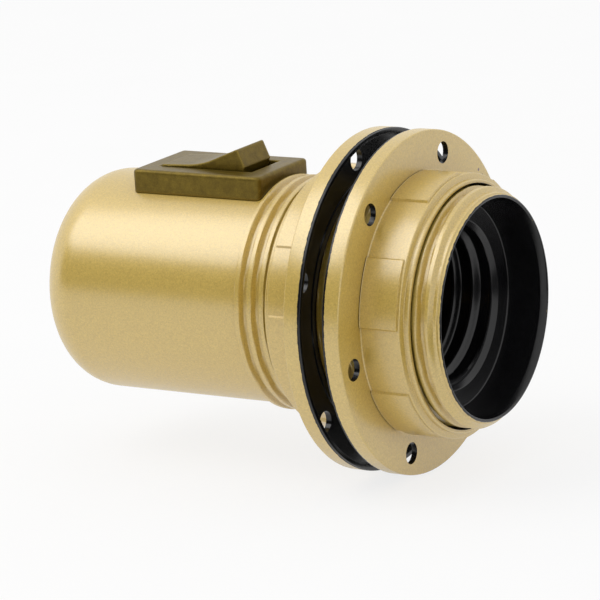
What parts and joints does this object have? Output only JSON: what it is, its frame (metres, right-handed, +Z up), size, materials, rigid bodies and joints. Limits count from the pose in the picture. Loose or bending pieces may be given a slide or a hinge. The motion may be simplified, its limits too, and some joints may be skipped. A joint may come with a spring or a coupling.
{
  "type": "lamp holder",
  "caption": "Screw-shell lampholder with a domed cap, rocker switch on top, threaded barrel and two flanged shade rings.",
  "frame": {"origin": "centre of the cable-entry end of the cap, on the socket's axis", "axes": "+X along the axis towards the lamp's mouth, +Z up through the middle of the switch, +Y to the left of the mouth"},
  "size_m": [0.08, 0.0576, 0.0576],
  "materials": {
    "gold_paint": "fine metallic gold paint on black moulded plastic, satin",
    "bronze_plastic": "dark olive-bronze satin paint",
    "black_plastic": "black moulded plastic, glossy",
    "brass": "plain stamped or turned brass",
    "steel": "plain zinc-plated steel"
  },
  "bodies": {
    "housing": {"cap": "gold_paint", "entry_bush": "brass", "entry_lock_screw": "steel", "threaded_barrel": "gold_paint", "switch_housing": "bronze_plastic", "live_terminal": "brass", "switched_contact": "brass", "link_strip": "brass", "neutral_terminal": "brass", "terminal_screws": "steel", "contact_carrier": "black_plastic", "centre_contact": "brass", "side_contact": "brass", "contact_rivets": "brass"},
    "front_ring": {"front_shade_ring": "gold_paint"},
    "rear_ring": {"rear_shade_ring": "gold_paint"},
    "rocker": {"switch_rocker": "bronze_plastic", "rocker_plunger": "black_plastic", "rocker_spring": "steel"},
    "bridge": {"contact_bridge": "brass"}
  },
  "joints": [
    {"name": "rocker_tilt", "type": "hinge", "parent": "housing", "child": "rocker", "pos_m": [0.0279, 0, 0.017], "axis": [0, 1, 0], "range_deg": [0, 25]},
    {"name": "bridge_rock", "type": "hinge", "parent": "housing", "child": "bridge", "pos_m": [0.0279, 0, 0.0102], "axis": [0, 1, 0], "range_deg": [-10, 0]},
    {"name": "front_ring_turn", "type": "hinge", "parent": "housing", "child": "front_ring", "pos_m": [0.06395, 0, 0], "axis": [1, 0, 0], "continuous": true},
    {"name": "rear_ring_turn", "type": "hinge", "parent": "housing", "child": "rear_ring", "pos_m": [0.0598, 0, 0], "axis": [1, 0, 0], "continuous": true}
  ],
  "couplings": [
    {"joint": "bridge_rock", "follows": "rocker_tilt", "ratio": -0.4}
  ]
}
